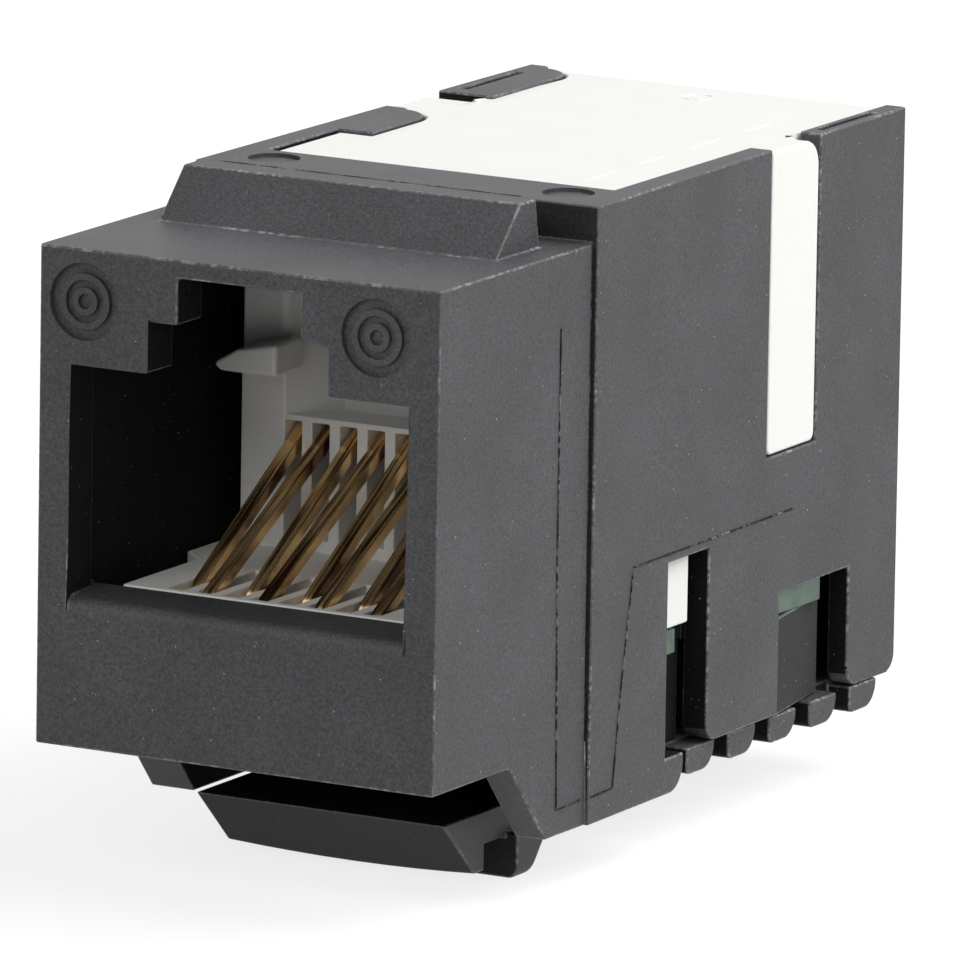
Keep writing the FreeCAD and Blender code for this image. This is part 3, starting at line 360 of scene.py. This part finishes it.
def white_plastic(name, shade):
    """Smooth white plastic with a trace of grime."""
    material, tree, shader = new_material(name)
    place = millimetres(tree)
    broad = noise(tree, place, 0.4, detail=3.0)
    fine = noise(tree, place, 5.0, detail=3.0)
    tint = ramp(tree, broad, [(0.3, scaled(shade, 0.98)), (0.7, shade)])
    grime = ramp(tree, fine, [(0.3, 0.975), (0.6, 1.0)])
    tint = mix(tree, 1.0, tint, grime, "MULTIPLY")
    tree.links.new(tint, shader.inputs["Base Color"])
    rough = ramp(tree, fine, [(0.3, 0.38), (0.7, 0.5)])
    tree.links.new(rough, shader.inputs["Roughness"])
    bump(tree, shader, fine, 0.15, 0.02)
    return material


def wire_metal(name, bright, dark, roughness):
    """Drawn and plated metal with fine lines along it."""
    material, tree, shader = new_material(name)
    place = millimetres(tree)
    lines = noise(tree, stretched(tree, place, (9.0, 0.25, 0.25)), 1.0, detail=3.0)
    tint = ramp(tree, lines, [(0.42, dark), (0.56, bright)])
    tree.links.new(tint, shader.inputs["Base Color"])
    rough = ramp(tree, lines, [(0.3, roughness - 0.08), (0.7, roughness + 0.12)])
    tree.links.new(rough, shader.inputs["Roughness"])
    shader.inputs["Metallic"].default_value = 0.88
    bump(tree, shader, lines, 0.1, 0.008)
    return material


def board_laminate(name):
    """Green lacquer with glass weave under it."""
    material, tree, shader = new_material(name)
    place = millimetres(tree)
    weave = tree.nodes.new("ShaderNodeTexWave")
    weave.inputs["Scale"].default_value = 1.2
    weave.inputs["Distortion"].default_value = 1.5
    tree.links.new(place, weave.inputs["Vector"])
    patches = noise(tree, place, 1.2, detail=3.0)
    tint = ramp(tree, patches, [(0.3, DARK_GREEN), (0.7, BOARD_GREEN)])
    tint = mix(tree, 0.25, tint, weave.outputs["Color"], "SOFT_LIGHT")
    tree.links.new(tint, shader.inputs["Base Color"])
    rough = ramp(tree, patches, [(0.3, 0.25), (0.7, 0.4)])
    tree.links.new(rough, shader.inputs["Roughness"])
    bump(tree, shader, weave.outputs["Fac"], 0.1, 0.02)
    return material


FINISHES = {
    "black_plastic": (
        black_plastic("black_body", BLACK, wear_and_glint=0.0, grain=0.35, gloss=0.5, shine=0.35),
        # Rounded edges, paler in dashes: partly wear, partly painted glints
        black_plastic("black_edge", BLACK, wear_and_glint=0.75, grain=0.25, gloss=0.4, shine=0.5),
        # Painted deep shade, for faces where shade falls
        black_plastic("black_painted_deep_shade", SEAM_AND_SHADE_BLACK, wear_and_glint=0.0, grain=0.2, gloss=0.7, shine=0.1),
        # The seams: dark lines with pale dashes, which are painted glints
        black_plastic("black_seam", SEAM_AND_SHADE_BLACK, wear_and_glint=0.6, grain=0.2, gloss=0.6, shine=0.1),
        # Painted half shade, for faces in half shade
        black_plastic("black_shade", SHADED_BLACK, wear_and_glint=0.0, grain=0.3, gloss=0.65, shine=0.22),
    ),
    "white_plastic": (
        white_plastic("white_body", WHITE),
        white_plastic("white_edge", EDGE_HIGHLIGHT_WHITE),
    ),
    "gold_wire": (wire_metal("gold", GOLD, DARK_GOLD, 0.17),) * 2,
    "terminal_metal": (wire_metal("tinned", TIN, DARK_TIN, 0.35),) * 2,
    "board": (board_laminate("laminate"),) * 2,
}


# Places


def drawn(point):
    """A point of a piece in millimetres as drawn."""
    return Vector((point.x / MM, point.y / MM + LENGTH_MM / 2, point.z / MM - LATCH_DROP_MM))


def at(x, y, z):
    """A point drawn in millimetres, in the part's frame."""
    return Vector((x, y - LENGTH_MM / 2, z + LATCH_DROP_MM)) * MM


def mirrored(point):
    """The point on the right side that stands for a point and its mirror image."""
    return Vector((abs(point.x), point.y, point.z))


def within(point, low, high):
    return all(a <= value <= b for a, value, b in zip(low, point, high))


def wall(y):
    """Half the jack's width in millimetres at a distance from the front."""
    if y < NECK_MM:
        return FRONT_HALF_MM
    share = (y - NECK_MM) / (LENGTH_MM - NECK_MM)
    return REAR_HALF_MM + (TAIL_HALF_MM - REAR_HALF_MM) * share


# Pieces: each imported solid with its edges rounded


def finish_of(node, face):
    """Which of its slot's finishes a face takes; faces where shade falls take the painted shade
    finishes.
    """
    centre = drawn(face.calc_center_median())
    side = mirrored(centre)
    normal = face.normal
    in_tall_window = within(side, *TALL_WINDOW_MM)
    in_low_window = within(side, *LOW_WINDOW_MM)
    if node == "base_cover":
        # The cover's inner faces, rib fronts and faces in the tall window take painted deep shade;
        # its rear face doesn't
        rear = normal.y > MOSTLY and centre.y > COVER_REAR_MM
        inner = centre.z > COVER_INSIDE_MM or normal.y < -MOSTLY or in_tall_window
        return PAINTED_DEEP_SHADE if inner and not rear else BODY
    if node == "latch_arm":
        # The latch's top, under the front block, takes painted deep shade, and its front faces
        # painted half shade
        if normal.z > MOSTLY:
            return PAINTED_DEEP_SHADE
        return SHADE if normal.y < -PARTLY else BODY
    if node == "housing":
        # The neck and the low window's ramp take painted half shade; faces in the socket, the latch
        # bay and the windows' reveals take painted deep shade, but not the sill
        neck = abs(centre.y - NECK_MM) < NECK_REACH_MM and normal.y < -SQUARELY
        if neck or (in_low_window and normal.y > BARELY):
            return SHADE
        sill = normal.z > SLIGHTLY and centre.y < SILL_DEPTH_MM
        inner = within(side, *SOCKET_INSIDE_MM) or within(side, *LATCH_BAY_MM)
        reveal = abs(normal.x) < HALF and (in_tall_window or in_low_window)
        return PAINTED_DEEP_SHADE if reveal or (inner and not sill) else BODY
    return BODY


def stretch_lugs(node, shape):
    """Carry the terminal block's side lugs further back."""
    if node != "terminal_block":
        return
    for vertex in shape.verts:
        if within(mirrored(drawn(vertex.co)), *LUG_SPAN_MM):
            vertex.co.y += LUG_STRETCH_MM * MM


def widen_pads(node, shape):
    """Carry the left pads, and the lid's notches round them, further over the lid."""
    if node not in PADS_MM:
        return
    for vertex in shape.verts:
        point = drawn(vertex.co)
        inwards = point.x - PAD_ROOTS_MM[node]
        beside = PAD_INWARDS_MM[0] < inwards < PAD_INWARDS_MM[1]
        if not (beside and PAD_HEIGHTS_MM[0] < point.z < PAD_HEIGHTS_MM[1]):
            continue
        for start, end, arc, wider_arc, growth in PADS_MM[node]:
            if start < point.y < end:
                vertex.co.x += inwards * (PAD_WIDENING - 1) * MM
                if point.y >= arc - ARC_SLACK_MM:
                    vertex.co.y += (wider_arc + growth * (point.y - arc) - point.y) * MM


def soften_cap(node, shape):
    """Lower the lid's ridges and round the corners of the straps' feet."""
    if node != "wire_cap":
        return
    for vertex in shape.verts:
        height = drawn(vertex.co).z - LID_TOP_MM
        if height > RIDGE_FOOT_MM:
            vertex.co.z -= height * (1 - RIDGE_SHARE) * MM
    corners = []
    for edge in shape.edges:
        ends = [drawn(vertex.co) for vertex in edge.verts]
        low = all(within(mirrored(end), *STRAP_FOOT_MM) for end in ends)
        across = abs(ends[0].x - ends[1].x) > STRAP_EDGE_MM
        if low and across and len(edge.link_faces) == 2 and edge.calc_face_angle() > STRAP_ANGLE:
            corners.append(edge)
    bmesh.ops.bevel(shape, geom=corners, offset=STRAP_CORNER_MM * MM, segments=STRAP_SEGMENTS,
                    profile=0.5, affect="EDGES")


def crisp(node, edge):
    """Whether an edge belongs to a small detail that isn't rounded."""
    points = [mirrored(drawn(vertex.co)) for vertex in edge.verts]
    return any(all(within(point, *span) for point in points) for span in CRISP_MM.get(node, ()))


def mark_edges(node, shape):
    """Give the sharp edges a bevel weight, but keep those of small details sharp."""
    weight = shape.edges.layers.float.new("bevel_weight_edge")
    for edge in shape.edges:
        if len(edge.link_faces) != 2 or edge.calc_face_angle() < EDGE_ANGLE:
            continue
        sliver = min(face.calc_area() for face in edge.link_faces) < SLIVER_MM2 * MM ** 2
        foot = min(drawn(vertex.co).z for vertex in edge.verts)
        if sliver or crisp(node, edge):
            edge.smooth = False
        elif node == "contact_carrier" and foot < HOOK_FOOT_MM:
            edge[weight] = COMB_SHARE
        else:
            edge[weight] = 1.0


def rounded(node, slot_name, body):
    """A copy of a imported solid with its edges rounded; it stands for that solid."""
    mesh = frame["nodes"][node].data.copy()
    mesh.name = f"{node}_looks"

    # The finishes come before to_mesh, which keeps the faces' choices of them
    mesh.materials.clear()
    for finish in FINISHES[slot_name]:
        mesh.materials.append(finish)
    shape = bmesh.new()
    shape.from_mesh(mesh)
    bmesh.ops.remove_doubles(shape, verts=shape.verts, dist=WELD_MM * MM)
    bmesh.ops.dissolve_limit(shape, angle_limit=FLAT_ANGLE, verts=shape.verts, edges=shape.edges)
    shape.normal_update()
    widen_pads(node, shape)
    stretch_lugs(node, shape)
    soften_cap(node, shape)
    for face in shape.faces:
        face.material_index = finish_of(node, face)
        face.smooth = True
    mark_edges(node, shape)
    shape.to_mesh(mesh)
    shape.free()
    if "custom_normal" in mesh.attributes:
        mesh.attributes.remove(mesh.attributes["custom_normal"])

    piece = bpy.data.objects.new(f"{node}_looks", mesh)
    bpy.context.collection.objects.link(piece)
    rounding = piece.modifiers.new("rounding", "BEVEL")
    rounding.width = EDGE_ROUNDING_MM[family(node)] * MM
    rounding.segments = ROUNDING_SEGMENTS
    rounding.use_clamp_overlap = False
    rounding.limit_method = "WEIGHT"
    rounding.harden_normals = True
    rounding.material = EDGE
    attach(piece, body)
    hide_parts(node)


# Parting lines: fine beads of flash along the moulding's side walls, dark with pale dashes of
# painted glint, and a ring on the lid


def bead_path(points, closed):
    """Points a short step apart along a path, and the direction of the path at each."""
    ends = points + points[:1] if closed else points
    path = []
    for low, high in zip(ends, ends[1:]):
        low, high = Vector(low), Vector(high)
        count = max(1, round((high - low).length / BEAD_STEP_MM))
        path += [low.lerp(high, i / count) for i in range(count)]
    if not closed:
        path.append(Vector(ends[-1]))
    total = len(path)
    directions = []
    for i, point in enumerate(path):
        ahead = path[(i + 1) % total] if closed or i + 1 < total else point
        behind = path[i - 1] if closed or i else point
        directions.append((ahead - behind).normalized())
    return path, directions


def bead(name, points, radius_mm, body, finish, closed=False):
    """A thin, slightly uneven bead along a path of points in millimetres."""
    path, directions = bead_path(points, closed)
    vertices, faces = [], []
    for i, (point, along) in enumerate(zip(path, directions)):
        aside = Vector((1, 0, 0.001)) if abs(along.x) < 0.9 else Vector((0, 1, 0))
        across = along.cross(aside).normalized()
        upright = along.cross(across)
        wave = 1 + UNEVENNESS * math.sin(WAVES[0] * i) * math.sin(WAVES[1] * i)
        for k in range(BEAD_SIDES):
            turn = 2 * math.pi * k / BEAD_SIDES
            spoke = across * math.cos(turn) + upright * math.sin(turn)
            vertices.append(at(*(point + spoke * radius_mm * wave)))
    total = len(path) * BEAD_SIDES
    for i in range(len(path) if closed else len(path) - 1):
        for k in range(BEAD_SIDES):
            a, b = i * BEAD_SIDES + k, i * BEAD_SIDES + (k + 1) % BEAD_SIDES
            c, d = (b + BEAD_SIDES) % total, (a + BEAD_SIDES) % total
            faces.append((a, b, c, d))
    mesh = bpy.data.meshes.new(name)
    mesh.from_pydata(vertices, [], faces)
    mesh.polygons.foreach_set("use_smooth", [True] * len(faces))
    mesh.materials.append(finish)
    piece = bpy.data.objects.new(name, mesh)
    bpy.context.collection.objects.link(piece)
    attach(piece, body)


def seams():
    """The front block's witness line, the stepped line round the cover's insert, and the roof's, as
    dark beads with painted glints.
    """
    dark = FINISHES["black_plastic"][SEAM]
    for side, sign in (("left", -1), ("right", 1)):
        front = [(sign * wall(y), y, z) for y, z in WITNESS_LINE]
        bead(f"{side}_witness_line", front, SEAM_RADIUS_MM, "jack", dark)
        rear = [(sign * wall(y), y, z) for y, z in INSERT_LINE]
        bead(f"{side}_insert_line", rear, SEAM_RADIUS_MM, "jack", dark)
    bead("roof_line", ROOF_LINE, SEAM_RADIUS_MM, "jack", dark)


def lid_mark():
    """A faint ejector ring near the lid's rear."""
    turns = [2 * math.pi * i / RING_POINTS for i in range(RING_POINTS)]
    x, y, radius = LID_MARK_MM
    z = LID_TOP_MM - LID_BEAD_SUNK_MM
    ring = [(x + radius * math.cos(t), y + radius * math.sin(t), z) for t in turns]
    # The ring takes the paler edge white, a faint painted highlight
    pale = FINISHES["white_plastic"][EDGE]
    bead("lid_ring", ring, LID_BEAD_MM, "wire_cap", pale, closed=True)


slot_of = {item["node"]: item["material_slot"] for item in frame["record"]["subparts"]}
for body, nodes in frame["record"]["behaviour"]["bodies"].items():
    for node in nodes:
        rounded(node, slot_of[node], body)
seams()
lid_mark()


# Studio


def softbox(name, place, width, height, power):
    """A rectangular lamp that looks at the jack."""
    data = bpy.data.lights.new(name, "AREA")
    data.shape = "RECTANGLE"
    data.size = width
    data.size_y = height
    data.energy = power
    lamp = bpy.data.objects.new(name, data)
    bpy.context.collection.objects.link(lamp)
    lamp.location = place
    direction = Vector(LIT_POINT) - Vector(place)
    lamp.rotation_euler = direction.to_track_quat("-Z", "Y").to_euler()


def seen_ray(tree):
    """1 for camera, glossy and transmission rays, 0 for the rest."""
    rays = tree.nodes.new("ShaderNodeLightPath")
    total = rays.outputs["Is Camera Ray"]
    for name in ("Is Glossy Ray", "Is Transmission Ray"):
        node = tree.nodes.new("ShaderNodeMath")
        node.operation = "MAXIMUM"
        tree.links.new(total, node.inputs[0])
        tree.links.new(rays.outputs[name], node.inputs[1])
        total = node.outputs[0]
    return total


def show(tree, output, unseen, seen):
    """Send one shader to the rays that are seen and the other to the rest."""
    blend = tree.nodes.new("ShaderNodeMixShader")
    tree.links.new(seen_ray(tree), blend.inputs["Fac"])
    tree.links.new(unseen.outputs[0], blend.inputs[1])
    tree.links.new(seen.outputs[0], blend.inputs[2])
    tree.links.new(blend.outputs[0], output.inputs["Surface"])


def world():
    """White where it is seen, and a low light elsewhere."""
    setting = bpy.data.worlds.new("studio_world")
    setting.use_nodes = True
    bpy.context.scene.world = setting
    tree = setting.node_tree
    tree.nodes.clear()
    output = tree.nodes.new("ShaderNodeOutputWorld")
    light = tree.nodes.new("ShaderNodeBackground")
    light.inputs["Strength"].default_value = WORLD_LIGHT
    white = tree.nodes.new("ShaderNodeBackground")
    white.inputs["Color"].default_value = (1, 1, 1, 1)
    show(tree, output, light, white)


def matt(tree, grey):
    """A diffuse shader in a grey."""
    node = tree.nodes.new("ShaderNodeBsdfDiffuse")
    node.inputs["Color"].default_value = (grey, grey, grey, 1)
    return node


def floor():
    """A broad sheet under the jack that takes its shadow."""
    side = FLOOR_HALF
    mesh = bpy.data.meshes.new("floor")
    corners = [(-side, -side, 0), (side, -side, 0), (side, side, 0), (-side, side, 0)]
    mesh.from_pydata(corners, [], [(0, 1, 2, 3)])
    sheet = bpy.data.objects.new("floor", mesh)
    bpy.context.collection.objects.link(sheet)
    material = bpy.data.materials.new("floor")
    material.use_nodes = True
    tree = material.node_tree
    tree.nodes.clear()
    output = tree.nodes.new("ShaderNodeOutputMaterial")
    glow = tree.nodes.new("ShaderNodeEmission")
    glow.inputs["Strength"].default_value = FLOOR_GLOW
    seen = tree.nodes.new("ShaderNodeAddShader")
    tree.links.new(matt(tree, SHADOW_GREY).outputs[0], seen.inputs[0])
    tree.links.new(glow.outputs[0], seen.inputs[1])
    show(tree, output, matt(tree, PAPER_GREY), seen)
    mesh.materials.append(material)


def camera():
    """The photograph's camera."""
    data = bpy.data.cameras.new("camera")
    data.sensor_width = SENSOR_WIDTH_MM
    data.lens = FOCAL_PIXELS / IMAGE_SIDE * SENSOR_WIDTH_MM
    data.clip_start, data.clip_end = CAMERA_CLIP
    item = bpy.data.objects.new("camera", data)
    bpy.context.collection.objects.link(item)
    a, e, r = CAMERA_AZIMUTH, CAMERA_ELEVATION, CAMERA_ROLL
    ahead = Vector((-math.sin(a) * math.cos(e), math.cos(a) * math.cos(e), -math.sin(e)))
    right = Vector((math.cos(a), math.sin(a), 0))
    up = right.cross(ahead)
    across = right * math.cos(r) + up * math.sin(r)
    above = up * math.cos(r) - right * math.sin(r)
    turn = Matrix((across, above, -ahead)).transposed()
    item.matrix_world = Matrix.Translation(CAMERA_AT) @ turn.to_4x4()
    bpy.context.scene.camera = item


for lamp in SOFTBOXES:
    softbox(*lamp)
world()
floor()
camera()
bpy.context.scene.view_settings.view_transform = "Standard"
